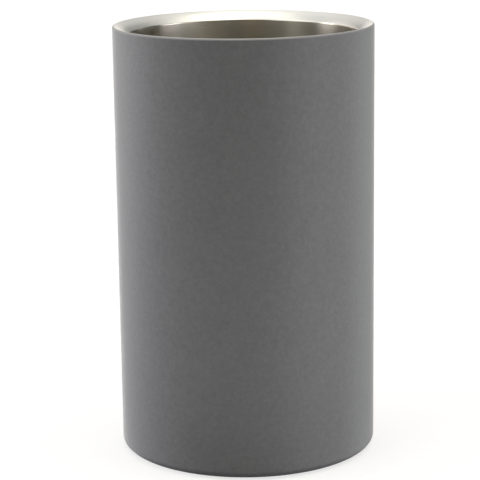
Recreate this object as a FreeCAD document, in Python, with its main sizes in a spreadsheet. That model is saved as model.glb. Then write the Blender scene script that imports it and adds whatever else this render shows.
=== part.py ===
import FreeCAD, Part
import math
import os
import Sketcher

# Straight-sided, vacuum-insulated bottle cooler (champagne bucket), in millimetres.
# Frame: +Z up, origin at the centre of the face that it stands on.
#
# Two thin stainless vessels share one axis. The liner is a tube whose mouth is
# pressed outwards into a wide, rounded lip and rolled over the top of the outer
# shell. The space between them is evacuated through a port in the vacuum base
# and sealed with a bead of solder glass. A cover hides the port, and a silicone
# pad is stuck into the cover's recess.

doc = FreeCAD.newDocument("BottleCooler")

# ---------------------------------------------------------------- dimensions
DIMENSIONS = [
    ("TotalHeight", 200.0, "standing face to top of rim"),
    ("ShellRadius", 60.25, "outer shell, outside radius"),
    ("ShellWall", 0.6, "outer shell sheet"),
    ("ShellCorner", 3.5, "outer shell, bottom corner outside radius"),
    ("ShellLift", 0.6, "outer shell's lowest face above the standing face"),
    ("BaseMouth", 54.0, "hole left by the shell's turned-in bottom flange"),
    ("LinerWall", 0.5, "liner sheet"),
    ("WellRadius", 53.5, "inside radius of the bottle well"),
    ("RimRound", 0.9, "outside radius of the rolled rim"),
    ("RimSkirt", 0.05, "straight edge under the rolled rim"),
    ("LipOuterAngle", 22.0, "slope of the lip beside the rim, degrees"),
    ("LipInnerAngle", 51.0, "slope of the lip beside the well, degrees"),
    ("LipCurve", 12.6, "radius of the lip's crown"),
    ("LipInnerReach", 2.4, "well wall to where the two lip slopes meet, radial"),
    ("LipCrease", 1.2, "radius where the lip turns down into the well"),
    ("FloorSeam", 26.0, "height of the weld between liner tube and floor"),
    ("FloorHeight", 14.5, "height of the well floor"),
    ("FloorCorner", 8.0, "inside corner radius of the well floor"),
    ("FloorStepOuter", 31.5, "foot of the raised centre of the floor"),
    ("FloorStepInner", 29.5, "top of the raised centre's slope"),
    ("FloorStepRise", 0.9, "rise of the floor's centre"),
    ("FloorStepRound", 1.6, "rounding of that step"),
    ("BaseFit", 0.02, "vacuum base inside the shell flange, radial gap"),
    ("BaseWall", 0.6, "vacuum base sheet"),
    ("BaseTop", 8.2, "vacuum base, upper face at its edge"),
    ("BaseCorner", 2.0, "vacuum base, edge radius"),
    ("BaseStepOuter", 41.0, "vacuum base, outer end of the sunk ring"),
    ("BaseStepInner", 38.8, "vacuum base, inner end of the slope"),
    ("BaseDrop", 1.4, "depth of the vacuum base's sunk centre"),
    ("BaseStepRound", 1.4, "rounding of that step"),
    ("PortOuter", 7.4, "port dimple, foot radius"),
    ("PortInner", 5.6, "port dimple, crown radius"),
    ("PortRise", 1.7, "port dimple height"),
    ("PortRound", 1.0, "port dimple rounding"),
    ("PortHole", 0.75, "evacuation hole radius"),
    ("SealRadius", 3.4, "solder glass bead radius"),
    ("SealDepth", 0.9, "solder glass bead thickness"),
    ("SealRound", 0.6, "solder glass bead edge rounding"),
    ("GetterOffset", 22.0, "getter, distance from the axis"),
    ("GetterRadius", 4.5, "getter pill radius"),
    ("GetterHeight", 2.4, "getter pill height"),
    ("GetterRound", 0.4, "getter pill edge rounding"),
    ("ClipGap", 0.1, "clip to pill gap"),
    ("ClipSheet", 0.3, "clip sheet"),
    ("ClipWidth", 5.0, "clip strap width"),
    ("ClipFoot", 4.2, "clip foot length"),
    ("ClipBend", 0.5, "clip bend radius"),
    ("FoilInner", 54.3, "foil sleeve inside radius"),
    ("FoilSheet", 0.15, "foil sleeve thickness"),
    ("FoilBottom", 28.0, "foil sleeve, lower edge"),
    ("FoilTop", 187.0, "foil sleeve, upper edge"),
    ("FoilTurn", 356.0, "foil sleeve wrap, degrees"),
    ("CoverRadius", 53.3, "base cover outside radius"),
    ("CoverSheet", 0.5, "base cover sheet"),
    ("CoverLift", 0.9, "base cover rim above the standing face"),
    ("CoverTop", 5.6, "base cover, top of its skirt"),
    ("CoverCorner", 1.1, "base cover edge radius"),
    ("RecessOuter", 49.2, "cover recess, outer end of its slope"),
    ("RecessInner", 48.0, "cover recess, inner end of its slope"),
    ("RecessLift", 1.9, "cover recess face above the standing face"),
    ("RecessRound", 0.8, "cover recess rounding"),
    ("TapeThick", 0.15, "adhesive disc thickness"),
    ("TapeRadius", 46.0, "adhesive disc radius"),
    ("PadRadius", 46.6, "foot pad radius"),
    ("PadRound", 0.5, "foot pad bottom edge rounding"),
    ("GrooveDepth", 0.45, "foot pad groove depth"),
    ("GrooveWidth", 1.4, "foot pad groove width"),
    ("GrooveFirst", 41.5, "foot pad, outermost groove centre radius"),
    ("GrooveSecond", 35.5, "foot pad, second groove centre radius"),
    ("GrooveThird", 29.5, "foot pad, third groove centre radius"),
]

sheet = doc.addObject("Spreadsheet::Sheet", "Params")
for row, (alias, value, note) in enumerate(DIMENSIONS, start=1):
    sheet.set("A%d" % row, note)
    sheet.set("B%d" % row, str(value))
    sheet.setAlias("B%d" % row, alias)
doc.recompute()


class Q:
    """A length or angle: its present value, and the spreadsheet expression it comes from."""

    def __init__(self, value, text):
        self.v = float(value)
        self.t = text

    @staticmethod
    def of(x):
        return x if isinstance(x, Q) else Q(x, repr(float(x)))

    def _op(self, other, sign, value):
        return Q(value, "(%s %s %s)" % (self.t, sign, Q.of(other).t))

    def __add__(self, o):
        return self._op(o, "+", self.v + Q.of(o).v)

    def __sub__(self, o):
        return self._op(o, "-", self.v - Q.of(o).v)

    def __mul__(self, o):
        return self._op(o, "*", self.v * Q.of(o).v)

    def __truediv__(self, o):
        return self._op(o, "/", self.v / Q.of(o).v)


def p(alias):
    return Q(getattr(sheet, alias), "Params." + alias)


def sind(a):
    return Q(math.sin(math.radians(a.v)), "sin(%s * 1deg)" % a.t)


def cosd(a):
    return Q(math.cos(math.radians(a.v)), "cos(%s * 1deg)" % a.t)


def tand(a):
    return Q(math.tan(math.radians(a.v)), "tan(%s * 1deg)" % a.t)


ZERO = Q(0.0, "0")


# ------------------------------------------------------------ sketch helpers
def new_body(label):
    body = doc.addObject("PartDesign::Body", label)
    body.Label = label
    return body


def new_sketch(body, name, role="XZ_Plane"):
    sketch = body.newObject("Sketcher::SketchObject", name)
    plane = [f for f in body.Origin.OriginFeatures if f.Role == role][0]
    sketch.AttachmentSupport = [(plane, "")]
    sketch.MapMode = "FlatFace"
    return sketch


def vec(x, y):
    return FreeCAD.Vector(x, y, 0)


def bind(sketch, constraint, quantity):
    index = sketch.addConstraint(constraint)
    sketch.setExpression("Constraints[%d]" % index, quantity.t)


def pin_point(sketch, geo, pos, x, y):
    """Holds a sketch point at (x, y) from the sketch origin."""
    if abs(x.v) < 1e-9:
        sketch.addConstraint(Sketcher.Constraint("PointOnObject", geo, pos, -2))
    else:
        bind(sketch, Sketcher.Constraint("DistanceX", -1, 1, geo, pos, x.v), x)
    if abs(y.v) < 1e-9:
        sketch.addConstraint(Sketcher.Constraint("PointOnObject", geo, pos, -1))
    else:
        bind(sketch, Sketcher.Constraint("DistanceY", -1, 1, geo, pos, y.v), y)


def unit(a, b):
    d = (b[0] - a[0], b[1] - a[1])
    n = math.hypot(*d)
    return (d[0] / n, d[1] / n)


def fillet_at(before, corner, after, radius):
    """(tangent point 1, tangent point 2, centre, turns left) of a round at corner."""
    u, w = unit(before, corner), unit(corner, after)
    cross = u[0] * w[1] - u[1] * w[0]
    dot = max(-1.0, min(1.0, u[0] * w[0] + u[1] * w[1]))
    turn = math.acos(dot)
    reach = radius * math.tan(turn / 2)
    t1 = (corner[0] - u[0] * reach, corner[1] - u[1] * reach)
    t2 = (corner[0] + w[0] * reach, corner[1] + w[1] * reach)
    left = cross > 0
    n = (-u[1], u[0]) if left else (u[1], -u[0])
    centre = (t1[0] + n[0] * radius, t1[1] + n[1] * radius)
    return t1, t2, centre, left


def add_arc(sketch, centre, radius, start, end, left):
    """An arc from start to end. Sketch arcs run anticlockwise, so a right turn is stored reversed."""
    a0 = math.atan2(start[1] - centre[1], start[0] - centre[0])
    a1 = math.atan2(end[1] - centre[1], end[0] - centre[0])
    if not left:
        a0, a1 = a1, a0
    if a1 < a0:
        a1 += 2 * math.pi
    circle = Part.Circle(vec(*centre), FreeCAD.Vector(0, 0, 1), radius)
    geo = sketch.addGeometry(Part.ArcOfCircle(circle, a0, a1), False)
    return (geo, 1, 2) if left else (geo, 2, 1)


def path_of(sketch, corners, rounds):
    """Draws a path of lines with rounds. corners are number pairs, rounds maps a corner's
    index to a radius. Returns the line ids, the rounds {index: (geo, start, end)}."""
    n = len(corners)
    starts, ends, arcs = {}, {}, {}
    for i in range(n):
        if i in rounds:
            t1, t2, centre, left = fillet_at(
                corners[i - 1], corners[i], corners[i + 1], rounds[i]
            )
            ends[i - 1], starts[i] = t1, t2
            arcs[i] = (centre, rounds[i], t1, t2, left)
        else:
            ends[i - 1], starts[i] = corners[i], corners[i]
    lines, arc_ids = [], {}
    for i in range(n - 1):
        lines.append(
            sketch.addGeometry(Part.LineSegment(vec(*starts[i]), vec(*ends[i])), False)
        )
    for i, arc in arcs.items():
        arc_ids[i] = add_arc(sketch, *arc)
    for i in range(1, n - 1):
        if i in arc_ids:
            geo, first, last = arc_ids[i]
            sketch.addConstraint(
                Sketcher.Constraint("Tangent", lines[i - 1], 2, geo, first)
            )
            sketch.addConstraint(Sketcher.Constraint("Tangent", geo, last, lines[i], 1))
        else:
            sketch.addConstraint(
                Sketcher.Constraint("Coincident", lines[i - 1], 2, lines[i], 1)
            )
    return lines, arc_ids


def sheet_profile(sketch, corners, rounds, wall, side):
    """The section of a pressed sheet. corners (pairs of Q) and rounds ({index: Q}) give one
    face of the sheet; the other is wall away, to the left (side 1) or right (side -1)."""
    pts = [(x.v, y.v) for x, y in corners]
    n = len(pts)
    lines, arcs = path_of(sketch, pts, {i: r.v for i, r in rounds.items()})
    pin_point(sketch, lines[0], 1, *corners[0])
    pin_point(sketch, lines[-1], 2, *corners[-1])
    for i in range(1, n - 1):
        if i in arcs:
            mark = sketch.addGeometry(Part.Point(vec(*pts[i])), True)
            pin_point(sketch, mark, 1, *corners[i])
            sketch.addConstraint(
                Sketcher.Constraint("PointOnObject", mark, 1, lines[i - 1])
            )
            sketch.addConstraint(Sketcher.Constraint("PointOnObject", mark, 1, lines[i]))
            bind(
                sketch,
                Sketcher.Constraint("Radius", arcs[i][0], rounds[i].v),
                rounds[i],
            )
        else:
            pin_point(sketch, lines[i], 1, *corners[i])
    # the far face: offset corners from the normals of the two lines that meet there
    normals = []
    for a, b in zip(pts[:-1], pts[1:]):
        u = unit(a, b)
        normals.append((-u[1] * side, u[0] * side))
    far = []
    for i in range(n):
        n0, n1 = normals[max(i - 1, 0)], normals[min(i, n - 2)]
        k = wall.v / (1 + n0[0] * n1[0] + n0[1] * n1[1])
        far.append((pts[i][0] + (n0[0] + n1[0]) * k, pts[i][1] + (n0[1] + n1[1]) * k))
    far_rounds, far_q = {}, {}
    for i, r in rounds.items():
        left = fillet_at(pts[i - 1], pts[i], pts[i + 1], r.v)[3]
        inward = (side == 1) == left
        far_q[i] = (r - wall) if inward else (r + wall)
        far_rounds[i] = far_q[i].v
    flines, farcs = path_of(sketch, far, far_rounds)
    for near_line, far_line in zip(lines, flines):
        sketch.addConstraint(Sketcher.Constraint("Parallel", near_line, far_line))
        bind(
            sketch,
            Sketcher.Constraint("Distance", far_line, 1, near_line, wall.v),
            wall,
        )
    for i in farcs:
        bind(sketch, Sketcher.Constraint("Radius", farcs[i][0], far_q[i].v), far_q[i])
    for near_line, far_line, pos, a, b in (
        (lines[0], flines[0], 1, pts[0], far[0]),
        (lines[-1], flines[-1], 2, pts[-1], far[-1]),
    ):
        cap = sketch.addGeometry(Part.LineSegment(vec(*a), vec(*b)), False)
        sketch.addConstraint(Sketcher.Constraint("Coincident", cap, 1, near_line, pos))
        sketch.addConstraint(Sketcher.Constraint("Coincident", cap, 2, far_line, pos))
        sketch.addConstraint(Sketcher.Constraint("Perpendicular", cap, near_line))


def closed_profile(sketch, corners, rounds):
    """A closed section through corners (pairs of Q), with rounds ({index: Q}) at some."""
    pts = [(x.v, y.v) for x, y in corners]
    n = len(pts)
    starts, ends, arcs = {}, {}, {}
    for i in range(n):
        if i in rounds:
            t1, t2, centre, left = fillet_at(
                pts[i - 1], pts[i], pts[(i + 1) % n], rounds[i].v
            )
            ends[(i - 1) % n], starts[i] = t1, t2
            arcs[i] = (centre, rounds[i].v, t1, t2, left)
        else:
            ends[(i - 1) % n], starts[i] = pts[i], pts[i]
    lines = [
        sketch.addGeometry(Part.LineSegment(vec(*starts[i]), vec(*ends[i])), False)
        for i in range(n)
    ]
    for i in range(n):
        before, after = lines[(i - 1) % n], lines[i]
        if i in arcs:
            geo, first, last = add_arc(sketch, *arcs[i])
            sketch.addConstraint(Sketcher.Constraint("Tangent", before, 2, geo, first))
            sketch.addConstraint(Sketcher.Constraint("Tangent", geo, last, after, 1))
            mark = sketch.addGeometry(Part.Point(vec(*pts[i])), True)
            pin_point(sketch, mark, 1, *corners[i])
            sketch.addConstraint(Sketcher.Constraint("PointOnObject", mark, 1, before))
            sketch.addConstraint(Sketcher.Constraint("PointOnObject", mark, 1, after))
            bind(sketch, Sketcher.Constraint("Radius", geo, rounds[i].v), rounds[i])
        else:
            sketch.addConstraint(Sketcher.Constraint("Coincident", before, 2, after, 1))
            pin_point(sketch, after, 1, *corners[i])


def revolve(body, sketch, name, angle=None):
    feature = body.newObject("PartDesign::Revolution", name)
    feature.Profile = sketch
    feature.ReferenceAxis = (sketch, ["V_Axis"])
    feature.Angle = 360.0 if angle is None else angle.v
    if angle is not None:
        feature.setExpression("Angle", angle.t)
    sketch.Visibility = False
    body.Tip = feature
    return feature


bodies = []
sketches = []


def sheet_body(label, corners, rounds, wall, side, angle=None):
    body = new_body(label)
    sketch = new_sketch(body, label + "_section")
    sheet_profile(sketch, corners, rounds, wall, side)
    revolve(body, sketch, label + "_revolve", angle)
    bodies.append(body)
    sketches.append(sketch)
    return body


def solid_body(label, corners, rounds):
    body = new_body(label)
    sketch = new_sketch(body, label + "_section")
    closed_profile(sketch, corners, rounds)
    revolve(body, sketch, label + "_revolve")
    bodies.append(body)
    sketches.append(sketch)
    return body


# --------------------------------------------------------------- outer shell
# Coated tube. Its lower end is turned in around a rounded corner to a flange,
# and its upper edge butts against the rolled rim of the liner.
shell_top = p("TotalHeight") - p("RimRound") - p("RimSkirt")
sheet_body(
    "outer_shell",
    [
        (p("ShellRadius"), shell_top),
        (p("ShellRadius"), p("ShellLift")),
        (p("BaseMouth"), p("ShellLift")),
    ],
    {1: p("ShellCorner")},
    p("ShellWall"),
    -1,
)

# --------------------------------------------------------------- inner liner
# The face that shows: up the well, over the crease, out along the crowned lip,
# round the rolled rim and down to the shell's edge. The lip's two slopes meet
# at a corner that the crown rounds off.
outer_slope, inner_slope = p("LipOuterAngle"), p("LipInnerAngle")
rim_corner = (
    p("TotalHeight")
    - p("RimRound")
    + p("RimRound") * (Q(1, "1") + sind(outer_slope)) / cosd(outer_slope)
)
meet_r = p("WellRadius") + p("LipInnerReach")
meet_z = rim_corner - (p("ShellRadius") - meet_r) * tand(outer_slope)
crease_z = meet_z - p("LipInnerReach") * tand(inner_slope)
sheet_body(
    "inner_liner",
    [
        (p("WellRadius"), p("FloorSeam")),
        (p("WellRadius"), crease_z),
        (meet_r, meet_z),
        (p("ShellRadius"), rim_corner),
        (p("ShellRadius"), shell_top),
    ],
    {1: p("LipCrease"), 2: p("LipCurve"), 3: p("RimRound")},
    p("LinerWall"),
    -1,
)

# --------------------------------------------------------------- liner floor
# Pressed cup welded to the tube's lower end, with a raised centre that
# stiffens it against the vacuum below.
floor_top = p("FloorHeight") + p("FloorStepRise")
sheet_body(
    "liner_floor",
    [
        (p("WellRadius"), p("FloorSeam")),
        (p("WellRadius"), p("FloorHeight")),
        (p("FloorStepOuter"), p("FloorHeight")),
        (p("FloorStepInner"), floor_top),
        (ZERO, floor_top),
    ],
    {1: p("FloorCorner"), 2: p("FloorStepRound"), 3: p("FloorStepRound")},
    p("LinerWall"),
    1,
)

# --------------------------------------------------------------- vacuum base
# Closes the outer shell. Its skirt is welded into the flange, its centre is
# sunk, and a dimple round the evacuation hole holds the solder glass.
base_r = p("BaseMouth") - p("BaseFit")
base_low = p("BaseTop") - p("BaseDrop")
port_top = base_low + p("PortRise")
sheet_body(
    "vacuum_base",
    [
        (base_r, p("ShellLift")),
        (base_r, p("BaseTop")),
        (p("BaseStepOuter"), p("BaseTop")),
        (p("BaseStepInner"), base_low),
        (p("PortOuter"), base_low),
        (p("PortInner"), port_top),
        (p("PortHole"), port_top),
    ],
    {
        1: p("BaseCorner"),
        2: p("BaseStepRound"),
        3: p("BaseStepRound"),
        4: p("PortRound"),
        5: p("PortRound"),
    },
    p("BaseWall"),
    1,
)

# ----------------------------------------------------------------- port seal
# Solder glass, melted into the dimple and the hole.
seal_face = port_top - p("BaseWall")
seal_stem = p("PortHole") - 0.02
solid_body(
    "port_seal",
    [
        (ZERO, seal_face - p("SealDepth")),
        (p("SealRadius"), seal_face - p("SealDepth")),
        (p("SealRadius"), seal_face),
        (seal_stem, seal_face),
        (seal_stem, port_top),
        (ZERO, port_top),
    ],
    {1: p("SealRound")},
)

# -------------------------------------------------------------------- getter
# A pressed pill that takes up stray gas, held down by a strap whose two feet
# are spot-welded to the vacuum base. Both are drawn on their own axis and
# moved out to the getter's place.
pill = solid_body(
    "getter_pill",
    [
        (ZERO, base_low),
        (p("GetterRadius"), base_low),
        (p("GetterRadius"), base_low + p("GetterHeight")),
        (ZERO, base_low + p("GetterHeight")),
    ],
    {1: p("GetterRound"), 2: p("GetterRound")},
)

clip = new_body("getter_clip")
clip_section = new_sketch(clip, "getter_clip_section")
half = p("GetterRadius") + p("ClipGap")
crown = base_low + p("GetterHeight") + p("ClipGap")
# The strap is centred on x = 0, so its section is drawn in the half where x is
# positive, from the foot's end to the middle, and mirrored.
sheet_profile(
    clip_section,
    [
        (half + p("ClipFoot"), base_low),
        (half, base_low),
        (half, crown),
        (ZERO, crown),
    ],
    {1: p("ClipBend"), 2: p("ClipBend") + 0.4},
    p("ClipSheet"),
    -1,
)
clip_half = clip.newObject("PartDesign::Pad", "getter_clip_pad")
clip_half.Profile = clip_section
clip_half.Length = p("ClipWidth").v
clip_half.setExpression("Length", p("ClipWidth").t)
if "SideType" in clip_half.PropertiesList:
    clip_half.SideType = "Symmetric"
else:
    clip_half.Midplane = True
clip_section.Visibility = False
doc.recompute()
clip_whole = clip.newObject("PartDesign::Mirrored", "getter_clip_mirror")
clip_whole.Originals = [clip_half]
clip_whole.MirrorPlane = (
    [f for f in clip.Origin.OriginFeatures if f.Role == "YZ_Plane"][0],
    [""],
)
clip.Tip = clip_whole
bodies.append(clip)
sketches.append(clip_section)
for moved in (pill, clip):
    moved.setExpression("Placement.Base.x", "Params.GetterOffset")

# --------------------------------------------------------------- foil shield
# Sleeve wrapped round the liner in the vacuum space, with its seam open a little.
foil_body = new_body("foil_shield")
foil_section = new_sketch(foil_body, "foil_shield_section")
closed_profile(
    foil_section,
    [
        (p("FoilInner"), p("FoilBottom")),
        (p("FoilInner") + p("FoilSheet"), p("FoilBottom")),
        (p("FoilInner") + p("FoilSheet"), p("FoilTop")),
        (p("FoilInner"), p("FoilTop")),
    ],
    {},
)
revolve(foil_body, foil_section, "foil_shield_revolve", p("FoilTurn"))
bodies.append(foil_body)
sketches.append(foil_section)

# ---------------------------------------------------------------- base cover
# Pressed cap that hides the port; the foot pad lies in its recess.
sheet_body(
    "base_cover",
    [
        (p("CoverRadius"), p("CoverTop")),
        (p("CoverRadius"), p("CoverLift")),
        (p("RecessOuter"), p("CoverLift")),
        (p("RecessInner"), p("RecessLift")),
        (ZERO, p("RecessLift")),
    ],
    {1: p("CoverCorner"), 2: p("RecessRound"), 3: p("RecessRound")},
    p("CoverSheet"),
    -1,
)

# -------------------------------------------------- foot pad and its adhesive
pad_top = p("RecessLift") - p("TapeThick")
solid_body(
    "pad_adhesive",
    [
        (ZERO, pad_top),
        (p("TapeRadius"), pad_top),
        (p("TapeRadius"), p("RecessLift")),
        (ZERO, p("RecessLift")),
    ],
    {},
)

groove_half = p("GrooveWidth") / 2
pad_corners = [(ZERO, ZERO)]
for centre in (p("GrooveThird"), p("GrooveSecond"), p("GrooveFirst")):
    pad_corners += [
        (centre - groove_half, ZERO),
        (centre - groove_half + 0.3, p("GrooveDepth")),
        (centre + groove_half - 0.3, p("GrooveDepth")),
        (centre + groove_half, ZERO),
    ]
pad_corners += [(p("PadRadius"), ZERO), (p("PadRadius"), pad_top), (ZERO, pad_top)]
solid_body("foot_pad", pad_corners, {13: p("PadRound")})

# ------------------------------------------------------------ check and write
doc.recompute()
failed = []
for obj in doc.Objects:
    if "Invalid" in obj.State or "Error" in obj.State:
        failed.append("%s: %s" % (obj.Name, obj.State))
for sketch in sketches:
    if sketch.solve() != 0:
        failed.append("%s does not solve" % sketch.Name)
    if not sketch.FullyConstrained:
        print("note: %s is not fully constrained" % sketch.Name)
for body in bodies:
    shape = body.Shape
    if shape.isNull() or not shape.isValid():
        failed.append("%s has no valid shape" % body.Label)
    elif len(shape.Solids) != 1:
        failed.append("%s has %d solids" % (body.Label, len(shape.Solids)))
if failed:
    raise RuntimeError("; ".join(failed))

os.makedirs("parts", exist_ok=True)
for body in bodies:
    shape = body.Shape
    shape.exportStep(os.path.join("parts", body.Label + ".step"))
    box = shape.BoundBox
    print(
        "%-14s volume %9.1f mm3  r %.2f  z %.2f .. %.2f"
        % (body.Label, shape.Volume, box.XMax, box.ZMin, box.ZMax)
    )
print("lip: slopes meet at r %.3f z %.3f, crease corner z %.3f, rim corner z %.3f"
      % (meet_r.v, meet_z.v, crease_z.v, rim_corner.v))
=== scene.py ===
import math

import bmesh
import bpy
from mathutils import Matrix, Vector


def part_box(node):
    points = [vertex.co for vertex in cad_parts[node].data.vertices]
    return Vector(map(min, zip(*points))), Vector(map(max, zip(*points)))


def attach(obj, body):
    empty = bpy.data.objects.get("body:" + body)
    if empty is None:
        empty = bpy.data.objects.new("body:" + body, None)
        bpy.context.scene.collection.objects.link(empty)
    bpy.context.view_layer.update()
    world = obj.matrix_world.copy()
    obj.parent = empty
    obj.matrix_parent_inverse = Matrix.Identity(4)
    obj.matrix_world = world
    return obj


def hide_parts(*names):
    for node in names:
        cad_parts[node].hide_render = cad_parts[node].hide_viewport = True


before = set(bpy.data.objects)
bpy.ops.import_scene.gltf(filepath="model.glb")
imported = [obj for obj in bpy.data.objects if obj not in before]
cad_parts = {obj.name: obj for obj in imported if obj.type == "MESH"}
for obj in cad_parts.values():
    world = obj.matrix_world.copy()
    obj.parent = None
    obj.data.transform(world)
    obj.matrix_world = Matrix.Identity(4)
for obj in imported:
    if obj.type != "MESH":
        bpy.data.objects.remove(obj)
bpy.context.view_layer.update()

scene = bpy.context.scene
MM = 0.001

# ------------------------------------------------------------------ sizes, mm
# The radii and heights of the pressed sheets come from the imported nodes' boxes.
# Sheet thicknesses and corner radii are the design's own and are repeated here.


def low(node):
    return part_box(node)[0] / MM


def high(node):
    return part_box(node)[1] / MM


R_SHELL = high("outer_shell").x
Z_SHELL = low("outer_shell").z
Z_SEAM = high("outer_shell").z
Z_TOP = high("inner_liner").z
Z_WELD = high("liner_floor").z
R_LINER = high("liner_floor").x
Z_DOME = low("liner_floor").z
SHELL_WALL = 0.6
LINER_WALL = 0.5
BASE_MOUTH = 54.0
RIM_ROUND = 0.9


# ------------------------------------------------------------ mesh building
def unit(a, b):
    d = Vector((b[0] - a[0], b[1] - a[1]))
    return d.normalized()


def rounded_path(corners, rounds, wall=0.0, side=1, max_run=4.0, arc_step=7.0):
    """Points along a path of straight runs whose corners are rounded, and the matching
    points of the sheet's other face, wall away to the left (side 1) or right (side -1)."""
    n = len(corners)
    pts = [Vector(c) for c in corners]
    near, far = [], []

    def put(p, normal):
        near.append(Vector(p))
        far.append(Vector(p) + normal * wall * side)

    def run(a, b, normal, ends):
        length = (b - a).length
        if length < 1e-6:
            return
        count = max(1, math.ceil(length / max_run))
        for k in range(count + 1):
            t = k / count
            if (k == 0 and not ends[0]) or (k == count and not ends[1]):
                continue
            put(a + (b - a) * t, normal)

    starts, ends_, arcs = {}, {}, {}
    for i in range(n):
        if i in rounds and 0 < i < n - 1:
            u, w = unit(pts[i - 1], pts[i]), unit(pts[i], pts[i + 1])
            cross = u.x * w.y - u.y * w.x
            turn = math.acos(max(-1.0, min(1.0, u.dot(w))))
            reach = rounds[i] * math.tan(turn / 2)
            t1, t2 = pts[i] - u * reach, pts[i] + w * reach
            left = 1 if cross > 0 else -1
            centre = t1 + Vector((-u.y, u.x)) * rounds[i] * left
            ends_[i - 1], starts[i] = t1, t2
            arcs[i] = (centre, rounds[i], t1, turn, left)
        else:
            ends_[i - 1], starts[i] = pts[i], pts[i]
    for i in range(n - 1):
        a, b = starts[i], ends_[i]
        u = unit(pts[i], pts[i + 1])
        normal = Vector((-u.y, u.x))
        # where two runs meet without a round, the far face is mitred
        run(a, b, normal, (i == 0 or i in arcs, i + 1 in arcs or i == n - 2))
        if i + 1 in arcs:
            centre, radius, t1, turn, left = arcs[i + 1]
            count = max(3, math.ceil(math.degrees(turn) / arc_step))
            spoke = t1 - centre
            for k in range(1, count):
                a_k = left * turn * k / count
                c, s = math.cos(a_k), math.sin(a_k)
                spun = Vector((spoke.x * c - spoke.y * s, spoke.x * s + spoke.y * c))
                put(centre + spun, -spun.normalized() * left)
        elif i < n - 2:
            w = unit(pts[i + 1], pts[i + 2])
            n2 = Vector((-w.y, w.x))
            put(pts[i + 1], (normal + n2) / (1 + normal.dot(n2)))
    return near, far


def lathe(name, loop, segments=288, split=30.0):
    """A closed solid of revolution about Z from a closed loop of (radius, height) points in
    mm, anticlockwise. Points on the axis become one pole."""
    mesh = bpy.data.meshes.new(name)
    bm = bmesh.new()
    rings = []
    for r, z in loop:
        if r < 1e-6:
            rings.append([bm.verts.new((0.0, 0.0, z * MM))])
        else:
            rings.append(
                [
                    bm.verts.new(
                        (
                            r * MM * math.cos(2 * math.pi * k / segments),
                            r * MM * math.sin(2 * math.pi * k / segments),
                            z * MM,
                        )
                    )
                    for k in range(segments)
                ]
            )
    for i, a in enumerate(rings):
        b = rings[(i + 1) % len(rings)]
        if len(a) == 1 and len(b) == 1:
            continue
        for k in range(segments):
            m = (k + 1) % segments
            if len(a) == 1:
                bm.faces.new((a[0], b[m], b[k]))
            elif len(b) == 1:
                bm.faces.new((a[k], a[m], b[0]))
            else:
                bm.faces.new((a[k], a[m], b[m], b[k]))
    bmesh.ops.recalc_face_normals(bm, faces=bm.faces)
    bm.to_mesh(mesh)
    bm.free()
    for poly in mesh.polygons:
        poly.use_smooth = True
    mesh.set_sharp_from_angle(angle=math.radians(split))
    obj = bpy.data.objects.new(name, mesh)
    scene.collection.objects.link(obj)
    return obj


def sheet_loop(corners, rounds, wall, side, **steps):
    near, far = rounded_path(corners, rounds, wall, side, **steps)
    return [(p.x, p.y) for p in near] + [(p.x, p.y) for p in reversed(far)]


def soften(loop, corners, radius, steps=3):
    """Rounds a loop's sharp corners given by index, so that cut edges catch the light."""
    out = []
    n = len(loop)
    for i, p in enumerate(loop):
        if i not in corners:
            out.append(p)
            continue
        p = Vector(p)
        a, b = Vector(loop[i - 1]), Vector(loop[(i + 1) % n])
        u, w = (p - a).normalized(), (b - p).normalized()
        reach = min(radius, (p - a).length * 0.45, (b - p).length * 0.45)
        p0, p2 = p - u * reach, p + w * reach
        for k in range(steps + 1):
            t = k / steps
            q = p0 * (1 - t) ** 2 + p * 2 * t * (1 - t) + p2 * t**2
            out.append((q.x, q.y))
    return out


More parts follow.
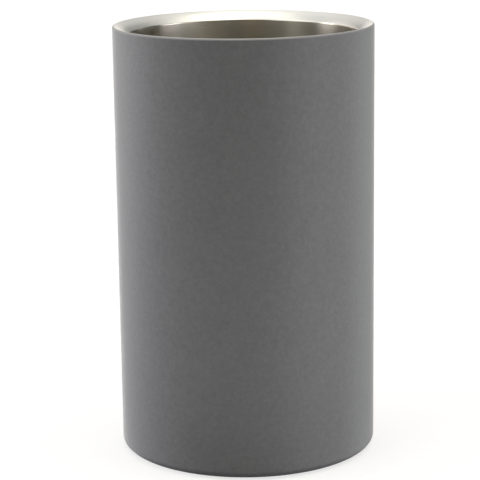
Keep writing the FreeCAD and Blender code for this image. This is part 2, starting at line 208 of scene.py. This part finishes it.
# ---------------------------------------------------------- node materials
class Nodes:
    """Short names for building a shader's node tree."""

    def __init__(self, name):
        self.material = bpy.data.materials.new(name)
        self.material.use_nodes = True
        self.tree = self.material.node_tree
        self.shader = next(
            n for n in self.tree.nodes if n.type == "BSDF_PRINCIPLED"
        )

    def new(self, kind, **inputs):
        node = self.tree.nodes.new(kind)
        for key, value in inputs.items():
            setattr(node, key, value)
        return node

    def link(self, a, b):
        self.tree.links.new(a, b)

    def math(self, op, a, b=None, c=None, clamp=False):
        node = self.new("ShaderNodeMath", operation=op, use_clamp=clamp)
        for i, value in enumerate((a, b, c)):
            if value is None:
                continue
            if isinstance(value, (int, float)):
                node.inputs[i].default_value = value
            else:
                self.link(value, node.inputs[i])
        return node.outputs[0]

    def vec(self, op, a, b=None, scale=None):
        node = self.new("ShaderNodeVectorMath", operation=op)
        for i, value in enumerate((a, b)):
            if value is None:
                continue
            if isinstance(value, (tuple, list)):
                node.inputs[i].default_value = value
            else:
                self.link(value, node.inputs[i])
        if scale is not None:
            node.inputs["Scale"].default_value = scale
        return node.outputs[0]

    def place(self):
        """Object coordinates, in metres."""
        return self.new("ShaderNodeTexCoord").outputs["Object"]

    def noise(self, vector, scale, detail=2.0, rough=0.5, distortion=0.0):
        node = self.new("ShaderNodeTexNoise")
        node.inputs["Scale"].default_value = scale
        node.inputs["Detail"].default_value = detail
        node.inputs["Roughness"].default_value = rough
        node.inputs["Distortion"].default_value = distortion
        self.link(vector, node.inputs["Vector"])
        return node.outputs["Fac"]

    def spread(self, value, lo, hi, to_lo, to_hi):
        node = self.new("ShaderNodeMapRange", clamp=True)
        self.link(value, node.inputs["Value"])
        for key, x in (
            ("From Min", lo),
            ("From Max", hi),
            ("To Min", to_lo),
            ("To Max", to_hi),
        ):
            node.inputs[key].default_value = x
        return node.outputs[0]

    def ramp(self, value, stops):
        node = self.new("ShaderNodeValToRGB")
        self.link(value, node.inputs["Fac"])
        elements = node.color_ramp.elements
        while len(elements) > 1:
            elements.remove(elements[-1])
        elements[0].position, elements[0].color = stops[0][0], (*stops[0][1], 1.0)
        for position, colour in stops[1:]:
            e = elements.new(position)
            e.color = (*colour, 1.0)
        return node.outputs["Color"]

    def mix(self, factor, a, b):
        node = self.new("ShaderNodeMix", data_type="RGBA")
        if isinstance(factor, (int, float)):
            node.inputs[0].default_value = factor
        else:
            self.link(factor, node.inputs[0])
        for value, key in ((a, 6), (b, 7)):
            if isinstance(value, (tuple, list)):
                node.inputs[key].default_value = (*value[:3], 1.0)
            else:
                self.link(value, node.inputs[key])
        return node.outputs[2]

    def bump(self, height, distance, strength=1.0, normal=None):
        node = self.new("ShaderNodeBump")
        node.inputs["Strength"].default_value = strength
        node.inputs["Distance"].default_value = distance
        self.link(height, node.inputs["Height"])
        if normal is not None:
            self.link(normal, node.inputs["Normal"])
        return node.outputs["Normal"]

    def set(self, **values):
        for key, value in values.items():
            socket = self.shader.inputs[key.replace("_", " ")]
            if isinstance(value, bpy.types.NodeSocket):
                self.link(value, socket)
            else:
                socket.default_value = value

    def ring_place(self, along=2.0, across=1.0):
        """Coordinates in which a pattern is drawn out round the axis: it changes slowly with
        the angle and quickly across the grain, on walls, cones and flats alike."""
        p = self.place()
        flat = self.vec("MULTIPLY", p, (1.0, 1.0, 0.0))
        ring = self.vec("NORMALIZE", flat)
        length = self.new("ShaderNodeVectorMath", operation="LENGTH")
        self.link(flat, length.inputs[0])
        apart = self.new("ShaderNodeSeparateXYZ")
        self.link(p, apart.inputs[0])
        across_value = self.math(
            "MULTIPLY",
            self.math("ADD", length.outputs["Value"], apart.outputs["Z"]),
            across,
        )
        up = self.new("ShaderNodeCombineXYZ")
        self.link(across_value, up.inputs["Z"])
        return self.vec(
            "ADD", self.vec("MULTIPLY", ring, (along, along, 0.0)), up.outputs[0]
        )


def powder_coat():
    m = Nodes("grey_powder_coat")
    p = m.place()
    cloud = m.noise(p, 430.0, 2.0, 0.5)
    patch = m.noise(p, 60.0, 2.0, 0.5)
    grain = m.noise(p, 1500.0, 2.0, 0.65)
    peel = m.noise(p, 620.0, 1.0, 0.4)
    tone = m.math(
        "ADD",
        m.math("MULTIPLY", m.math("SUBTRACT", cloud, 0.5), 0.64),
        m.math(
            "ADD",
            m.math("MULTIPLY", m.math("SUBTRACT", patch, 0.5), 0.16),
            m.math("MULTIPLY", m.math("SUBTRACT", grain, 0.5), 0.80),
        ),
    )
    shade = m.spread(tone, -0.5, 0.5, 0.0, 1.0)
    colour = m.ramp(
        shade,
        [
            (0.0, (0.1680, 0.1680, 0.1750)),
            (0.5, (0.2235, 0.2235, 0.2325)),
            (1.0, (0.2820, 0.2820, 0.2920)),
        ],
    )
    # over the rim's outer round the coat runs thin and pale; this paler colour on the round's upper,
    # up-facing part is also a painted highlight, standing for the light that the up-facing round catches
    apart = m.new("ShaderNodeSeparateXYZ")
    m.link(p, apart.inputs[0])
    # painted highlight, partly thin coat: above 199.15-199.35 mm the coat is mixed towards pale grey
    thin_coat_and_painted_highlight = m.spread(apart.outputs["Z"], 0.19915, 0.19935, 0.0, 1.0)
    colour = m.mix(m.math("MULTIPLY", thin_coat_and_painted_highlight, 0.55), colour, (0.34, 0.34, 0.335))
    m.set(
        Base_Color=colour,
        Roughness=m.spread(cloud, 0.25, 0.75, 0.40, 0.48),
        Metallic=0.0,
        IOR=1.5,
        Normal=m.bump(grain, 0.00008, 0.6, m.bump(peel, 0.00012, 0.5)),
    )
    return m.material


def brushed(name, dark, light, roughness, grain, anisotropy, bump=0.5, weld=None):
    """Steel brushed round the axis. weld is the height in metres of a planished weld line."""
    m = Nodes(name)
    fine = m.noise(m.ring_place(along=2.4, across=5200.0), 1.0, 2.0, 0.6)
    broad = m.noise(m.ring_place(along=1.3, across=1150.0), 1.0, 2.0, 0.5)
    haze = m.noise(m.place(), 55.0, 2.0, 0.5)
    streak = m.math(
        "ADD",
        m.math("MULTIPLY", fine, 0.50),
        m.math("ADD", m.math("MULTIPLY", broad, 0.22), m.math("MULTIPLY", haze, 0.28)),
    )
    colour = m.ramp(streak, [(0.30, dark), (0.70, light)])
    rough = m.spread(streak, 0.3, 0.7, roughness + grain, roughness - grain)
    height = m.bump(fine, 0.000010, bump, m.bump(broad, 0.0000025, bump))
    if weld is not None:
        apart = m.new("ShaderNodeSeparateXYZ")
        m.link(m.place(), apart.inputs[0])
        off = m.math("ABSOLUTE", m.math("SUBTRACT", apart.outputs["Z"], weld))
        waver = m.math("MULTIPLY", m.math("SUBTRACT", m.noise(m.place(), 160.0), 0.5), 0.0006)
        off = m.math("ADD", off, waver)
        near = m.spread(off, 0.00035, 0.0007, 1.0, 0.0)
        warm = m.spread(off, 0.0006, 0.0030, 0.35, 0.0)
        colour = m.mix(warm, colour, (0.50, 0.41, 0.27))
        colour = m.mix(m.math("MULTIPLY", near, 0.6), colour, (0.42, 0.40, 0.36))
        rough = m.math("ADD", rough, m.math("MULTIPLY", near, 0.12))
        height = m.bump(near, 0.00006, 0.6, height)
    m.set(
        Base_Color=colour,
        Metallic=1.0,
        Roughness=rough,
        Anisotropic=anisotropy,
        Anisotropic_Rotation=0.25,
        Normal=height,
    )
    tangent = m.new("ShaderNodeTangent", direction_type="RADIAL", axis="Z")
    m.link(tangent.outputs[0], m.shader.inputs["Tangent"])
    return m.material


def rolled_steel():
    """Plain sheet as it comes from the mill, with faint blotches and drawing marks."""
    m = Nodes("plain_steel")
    p = m.place()
    blotch = m.noise(p, 70.0, 3.0, 0.55)
    grain = m.noise(p, 2600.0, 2.0, 0.6)
    drawn = m.noise(m.ring_place(along=18.0, across=700.0), 1.0, 2.0, 0.5)
    tone = m.math(
        "ADD",
        m.math("MULTIPLY", blotch, 0.5),
        m.math("ADD", m.math("MULTIPLY", grain, 0.25), m.math("MULTIPLY", drawn, 0.25)),
    )
    m.set(
        Base_Color=m.ramp(tone, [(0.30, (0.50, 0.49, 0.46)), (0.70, (0.65, 0.635, 0.60))]),
        Metallic=1.0,
        Roughness=m.spread(tone, 0.3, 0.7, 0.42, 0.30),
        Normal=m.bump(grain, 0.00003, 0.4, m.bump(drawn, 0.00003, 0.4)),
    )
    return m.material


def solder_glass():
    m = Nodes("solder_glass")
    p = m.place()
    swirl = m.noise(p, 420.0, 3.0, 0.6, 1.2)
    pit = m.noise(p, 2300.0, 1.0)
    m.set(
        Base_Color=m.ramp(
            swirl,
            [(0.25, (0.030, 0.034, 0.026)), (0.55, (0.060, 0.066, 0.050)), (0.8, (0.11, 0.11, 0.08))],
        ),
        Roughness=m.spread(pit, 0.3, 0.75, 0.06, 0.22),
        IOR=1.7,
        Normal=m.bump(swirl, 0.00012, 0.4, m.bump(pit, 0.00003, 0.4)),
    )
    return m.material


def getter_powder():
    m = Nodes("getter_powder")
    p = m.place()
    grain = m.noise(p, 3400.0, 3.0, 0.7)
    lump = m.noise(p, 900.0, 2.0)
    m.set(
        Base_Color=m.ramp(
            grain, [(0.3, (0.055, 0.055, 0.056)), (0.6, (0.12, 0.12, 0.12)), (0.8, (0.20, 0.20, 0.19))]
        ),
        Metallic=0.3,
        Roughness=m.spread(lump, 0.3, 0.7, 0.85, 0.65),
        Normal=m.bump(grain, 0.0001, 0.8, m.bump(lump, 0.0001, 0.5)),
    )
    return m.material


def copper_foil():
    m = Nodes("copper_foil")
    p = m.place()
    crease = m.noise(p, 120.0, 4.0, 0.6, 0.8)
    crinkle = m.noise(p, 900.0, 2.0, 0.5)
    m.set(
        Base_Color=m.ramp(
            crease,
            [(0.25, (0.60, 0.25, 0.14)), (0.5, (0.78, 0.38, 0.24)), (0.8, (0.86, 0.48, 0.33))],
        ),
        Metallic=1.0,
        Roughness=m.spread(crinkle, 0.3, 0.7, 0.18, 0.34),
        Normal=m.bump(crease, 0.0003, 0.6, m.bump(crinkle, 0.00005, 0.5)),
    )
    return m.material


def adhesive_film():
    m = Nodes("adhesive_film")
    p = m.place()
    cloud = m.noise(p, 90.0, 3.0, 0.6)
    bubble = m.noise(p, 1400.0, 1.0)
    m.set(
        Base_Color=m.ramp(
            cloud, [(0.3, (0.66, 0.65, 0.56)), (0.6, (0.76, 0.75, 0.69)), (0.8, (0.82, 0.82, 0.78))]
        ),
        Roughness=m.spread(bubble, 0.3, 0.7, 0.30, 0.50),
        Normal=m.bump(bubble, 0.00003, 0.5),
    )
    return m.material


def silicone():
    m = Nodes("grey_silicone")
    p = m.place()
    bloom = m.noise(p, 45.0, 3.0, 0.6)
    skin = m.noise(p, 1700.0, 2.0, 0.6)
    speck = m.noise(p, 5200.0, 1.0)
    tone = m.math("ADD", m.math("MULTIPLY", bloom, 0.6), m.math("MULTIPLY", skin, 0.4))
    m.set(
        Base_Color=m.ramp(
            tone, [(0.3, (0.030, 0.030, 0.032)), (0.5, (0.042, 0.042, 0.044)), (0.75, (0.070, 0.070, 0.071))]
        ),
        Roughness=m.spread(skin, 0.3, 0.7, 0.60, 0.76),
        Normal=m.bump(skin, 0.00005, 0.5, m.bump(speck, 0.00002, 0.5)),
    )
    return m.material


COAT = powder_coat()
WELL_STEEL = brushed(
    "well_steel", (0.566, 0.540, 0.480), (0.652, 0.627, 0.566), 0.26, 0.02, 0.7, 0.12, Z_WELD * MM
)
FLOOR_STEEL = brushed(
    "floor_steel", (0.550, 0.545, 0.525), (0.605, 0.600, 0.580), 0.28, 0.02, 0.7, 0.12, Z_WELD * MM
)
LIP_STEEL = brushed(
    "lip_steel", (0.75, 0.74, 0.70), (0.835, 0.825, 0.785), 0.40, 0.04, 0.3, bump=0.3
)
PLAIN_STEEL = rolled_steel()
SILICONE = silicone()


def piece(obj, node, slot, *materials):
    """obj stands for the CAD node and rides with it."""
    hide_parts(node)
    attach(obj, "root")
    for material in materials:
        obj.data.materials.append(material)
    return obj


# -------------------------------------------------------------- outer shell
shell = piece(
    lathe(
        "shell_tube",
        sheet_loop(
            [(R_SHELL, Z_SEAM), (R_SHELL, Z_SHELL), (BASE_MOUTH, Z_SHELL)],
            {1: 3.5},
            SHELL_WALL,
            -1,
        ),
    ),
    "outer_shell",
    "grey_coat",
    COAT,
    PLAIN_STEEL,
)
# only the outside is coated: the faces towards the vacuum space are bare
for poly in shell.data.polygons:
    c, n = poly.center, poly.normal
    outward = Vector((c.x, c.y, 0.0)).normalized().dot(n)
    if outward < -0.05 and n.z > -0.2 or n.z > 0.05:
        poly.material_index = 1

# -------------------------------------------------------- liner tube and lip
SLOPE_OUT, SLOPE_IN = math.radians(22.0), math.radians(51.0)
REACH = 2.4
rim_z = Z_TOP - RIM_ROUND + RIM_ROUND * (1 + math.sin(SLOPE_OUT)) / math.cos(SLOPE_OUT)
r_well = R_LINER - LINER_WALL
r_meet = r_well + REACH
z_meet = rim_z - (R_SHELL - r_meet) * math.tan(SLOPE_OUT)
z_crease = z_meet - REACH * math.tan(SLOPE_IN)
liner = piece(
    lathe(
        "liner_tube_and_lip",
        sheet_loop(
            [
                (r_well, Z_WELD),
                (r_well, z_crease),
                (r_meet, z_meet),
                (R_SHELL, rim_z),
                (R_SHELL, Z_SEAM),
            ],
            {1: 1.2, 2: 12.6, 3: RIM_ROUND},
            LINER_WALL,
            -1,
            arc_step=4.0,
        ),
    ),
    "inner_liner",
    "liner_steel",
    WELL_STEEL,
    LIP_STEEL,
    COAT,
)
# the lip is finished brighter than the well, and the coat runs up over the rim's outer round
lip_from = (z_crease + 0.15) * MM
for poly in liner.data.polygons:
    c = poly.center
    outward = Vector((c.x, c.y, 0.0)).normalized().dot(poly.normal)
    a = math.atan2(c.y, c.x)
    # the coat's edge wavers a little round the rim and sits lowest at the front
    edge = 0.21 - 0.11 * math.sin(a) + 0.03 * math.sin(3 * a + 0.7) + 0.03 * math.sin(7 * a + 2.1)
    if c.z > (Z_SEAM - 0.1) * MM and outward > edge:
        poly.material_index = 2
    elif c.z > lip_from:
        poly.material_index = 1

# ----------------------------------------------------------- floor of the well
piece(
    lathe(
        "well_floor",
        sheet_loop(
            [
                (r_well, Z_WELD),
                (r_well, Z_DOME + LINER_WALL),
                (31.5, Z_DOME + LINER_WALL),
                (29.5, Z_DOME + LINER_WALL + 0.9),
                (0.0, Z_DOME + LINER_WALL + 0.9),
            ],
            {1: 8.0, 2: 1.6, 3: 1.6},
            LINER_WALL,
            1,
        ),
    ),
    "liner_floor",
    "liner_steel",
    FLOOR_STEEL,
)

# ------------------------------------------------------------------ base cover
R_COVER, Z_COVER = high("base_cover").x, low("base_cover").z
Z_RECESS = high("pad_adhesive").z
piece(
    lathe(
        "base_cap",
        sheet_loop(
            [
                (R_COVER, high("base_cover").z),
                (R_COVER, Z_COVER),
                (49.2, Z_COVER),
                (48.0, Z_RECESS),
                (0.0, Z_RECESS),
            ],
            {1: 1.1, 2: 0.8, 3: 0.8},
            0.5,
            -1,
        ),
    ),
    "base_cover",
    "plain_steel",
    PLAIN_STEEL,
)

# ------------------------------------------------------------------- foot pad
R_PAD, Z_PAD = high("foot_pad").x, high("foot_pad").z
pad = [(0.0, 0.0)]
for middle in (29.5, 35.5, 41.5):
    pad += [(middle - 0.7, 0.0), (middle - 0.4, 0.45), (middle + 0.4, 0.45), (middle + 0.7, 0.0)]
pad += [(R_PAD, 0.0), (R_PAD, Z_PAD), (0.0, Z_PAD)]
spread_pad = []
for a, b in zip(pad, pad[1:]):
    count = max(1, math.ceil(abs(b[0] - a[0]) / 4.0))
    spread_pad += [
        (a[0] + (b[0] - a[0]) * k / count, a[1] + (b[1] - a[1]) * k / count)
        for k in range(count)
    ]
spread_pad.append(pad[-1])
corners = [i for i, q in enumerate(spread_pad) if q in pad[1:-1]]
edge = spread_pad.index(pad[13])
pad_loop = soften(spread_pad, [i for i in corners if i != edge], 0.14)
edge = pad_loop.index(pad[13])
pad_loop = soften(pad_loop, [edge], 0.5, steps=6)
piece(lathe("silicone_foot", pad_loop), "foot_pad", "grey_silicone", SILICONE)

# -------------------------------------------- pieces that keep their CAD shape
for node, material in (
    ("vacuum_base", PLAIN_STEEL),
    ("getter_clip", PLAIN_STEEL),
    ("port_seal", solder_glass()),
    ("getter_pill", getter_powder()),
    ("foil_shield", copper_foil()),
    ("pad_adhesive", adhesive_film()),
):
    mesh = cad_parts[node].data
    mesh.materials.clear()
    mesh.materials.append(material)

# ------------------------------------------------------------------- stage
def cyclorama():
    """A pale floor that sweeps up all round into a wall, so no view sees an edge."""
    reach, sweep, top = 2.4, 1.1, 3.4
    profile = [(0.0, 0.0), (0.3, 0.0), (1.2, 0.0)]
    for k in range(13):
        a = math.radians(90.0 * k / 12)
        profile.append((reach + sweep * math.sin(a), sweep * (1 - math.cos(a))))
    profile.append((reach + sweep, top))
    mesh = bpy.data.meshes.new("floor")
    bm = bmesh.new()
    rings = []
    for r, z in profile:
        count = 1 if r == 0.0 else 96
        rings.append(
            [
                bm.verts.new(
                    (r * math.cos(2 * math.pi * k / 96), r * math.sin(2 * math.pi * k / 96), z)
                )
                for k in range(count)
            ]
        )
    for a, b in zip(rings, rings[1:]):
        for k in range(96):
            m = (k + 1) % 96
            bm.faces.new((a[0], b[k], b[m]) if len(a) == 1 else (a[k], b[k], b[m], a[m]))
    bm.to_mesh(mesh)
    bm.free()
    for poly in mesh.polygons:
        poly.use_smooth = True
    obj = bpy.data.objects.new("floor", mesh)
    scene.collection.objects.link(obj)
    return obj


floor = cyclorama()
fm = Nodes("floor_paper")
fm.set(
    Base_Color=fm.ramp(
        fm.noise(fm.place(), 3.0, 2.0), [(0.3, (0.35, 0.35, 0.35)), (0.7, (0.37, 0.37, 0.37))]
    ),
    Roughness=1.0,
    Specular_IOR_Level=0.0,
    Emission_Color=(1.0, 1.0, 1.0, 1.0),
    Emission_Strength=0.70,
)
floor.data.materials.append(fm.material)
# the light that the floor and walls throw back on the object comes from the low lights below
floor.visible_diffuse = False
floor.visible_glossy = False
floor.visible_shadow = False

# ------------------------------------------------------------------ lights
# Large soft lights far away. Azimuth 0 is on the camera's side and 90 on +X; elevations
# below 0 stand for what the floor throws back; then the angular width and the brightness
# of the lit disc, and a tint for some.
LIGHTS = [
    ("left_strip", -95.0, 12.0, 22.0, 4.70, (1.03, 0.99, 0.97)),
    ("right_strip", 80.0, 12.0, 24.0, 3.39, (1.03, 0.985, 1.04)),
    ("right_strip_fill", 60.0, 12.0, 24.0, 0.82),
    ("left_front", -60.0, 36.0, 50.0, 1.63, (1.0, 1.0, 0.96)),
    ("front_low", -10.0, 12.0, 24.0, 0.20, (1.30, 0.95, 0.50)),
    ("top_right", 60.0, 62.0, 60.0, 0.89, (1.04, 0.995, 0.82)),
    ("top_right_rear", 120.0, 62.0, 60.0, 0.58, (0.99, 1.0, 1.0)),
    ("top_left_rear", -120.0, 62.0, 60.0, 0.51, (0.99, 1.0, 1.0)),
    ("overhead", 0.0, 90.0, 50.0, 1.32, (1.04, 0.99, 0.89)),
    ("rear", 180.0, 36.0, 50.0, 0.52, (1.01, 1.0, 0.97)),
    ("rear_left", -150.0, 36.0, 50.0, 0.27),
    ("rear_right", 150.0, 12.0, 50.0, 0.22),
    ("left_rear", -120.0, 12.0, 50.0, 1.05, (1.05, 0.985, 0.95)),
    ("floor_right", 60.0, -15.0, 50.0, 1.04),
    ("floor_right_rear", 120.0, -15.0, 50.0, 1.17, (0.97, 1.01, 1.0)),
    ("floor_rear", 180.0, -15.0, 50.0, 2.15, (1.05, 0.99, 0.95)),
    ("floor_rear_left", -150.0, -15.0, 50.0, 0.87),
    ("floor_left_rear", -120.0, -15.0, 50.0, 0.40, (0.95, 1.0, 1.08)),
    ("floor_left", -90.0, -15.0, 50.0, 0.46, (0.95, 1.0, 1.15)),
]
AMBIENT = 0.0


def soft_light(name, azimuth, elevation, width, brightness, colour=(1.0, 1.0, 1.0)):
    a, e, half = math.radians(azimuth), math.radians(elevation), math.radians(width / 2)
    towards = Vector((math.sin(a) * math.cos(e), -math.cos(a) * math.cos(e), math.sin(e)))
    data = bpy.data.lights.new(name, "SUN")
    data.energy = brightness * math.pi * math.sin(half) ** 2
    data.angle, data.color = 2 * half, colour
    lamp = bpy.data.objects.new(name, data)
    lamp.rotation_mode = "QUATERNION"
    lamp.rotation_quaternion = towards.to_track_quat("Z", "Y")
    lamp.location = towards * 2.0
    scene.collection.objects.link(lamp)
    return lamp


def floor_patch(name, near, far, half_width, brightness):
    """A patch of the floor in front of the object that throws light up at it."""
    data = bpy.data.lights.new(name, "AREA")
    data.shape = "RECTANGLE"
    data.size, data.size_y = 2 * half_width, far - near
    data.energy = brightness * math.pi * data.size * data.size_y * math.pi
    lamp = bpy.data.objects.new(name, data)
    lamp.location = (0.0, -(near + far) / 2, 0.001)
    lamp.rotation_euler = (math.pi, 0.0, 0.0)
    lamp.visible_camera = False
    scene.collection.objects.link(lamp)
    return lamp


def floor_disc(name, radius, brightness):
    """The floor close round the foot, which lights the wall's bottom corner from below."""
    data = bpy.data.lights.new(name, "AREA")
    data.shape, data.size = "DISK", 2 * radius
    data.energy = brightness * math.pi * math.pi * radius**2 * math.pi
    lamp = bpy.data.objects.new(name, data)
    lamp.location = (0.0, 0.0, -0.001)
    lamp.rotation_euler = (math.pi, 0.0, 0.0)
    lamp.visible_camera = False
    scene.collection.objects.link(lamp)
    return lamp


for spec in LIGHTS:
    soft_light(*spec)
floor_patch("floor_front", 0.09, 0.30, 0.25, 0.083)
floor_patch("floor_front_far", 0.20, 0.60, 0.40, 0.082)
floor_disc("floor_close", 0.075, 0.025)

world = bpy.data.worlds.new("studio")
world.use_nodes = True
world.node_tree.nodes["Background"].inputs[0].default_value = (1, 1, 1, 1)
world.node_tree.nodes["Background"].inputs[1].default_value = AMBIENT
scene.world = world

# ------------------------------------------------------------------ camera
cam_data = bpy.data.cameras.new("camera")
cam_data.sensor_width = 36.0
cam_data.lens = 138.66
cam_data.clip_start, cam_data.clip_end = 0.05, 60.0
camera = bpy.data.objects.new("camera", cam_data)
scene.collection.objects.link(camera)
yaw, pitch, roll = -0.0033, 0.22625, -0.0133
forward = Vector(
    (math.sin(yaw) * math.cos(pitch), math.cos(yaw) * math.cos(pitch), -math.sin(pitch))
)
right = Vector((math.cos(yaw), -math.sin(yaw), 0.0))
up = right.cross(forward)
right, up = (
    right * math.cos(roll) + up * math.sin(roll),
    up * math.cos(roll) - right * math.sin(roll),
)
turned = Matrix((right, up, -forward)).transposed().to_4x4()
camera.matrix_world = Matrix.Translation((0.0, -0.8501, 0.2936)) @ turned
scene.camera = camera

scene.view_settings.view_transform = "Standard"
scene.view_settings.look = "None"
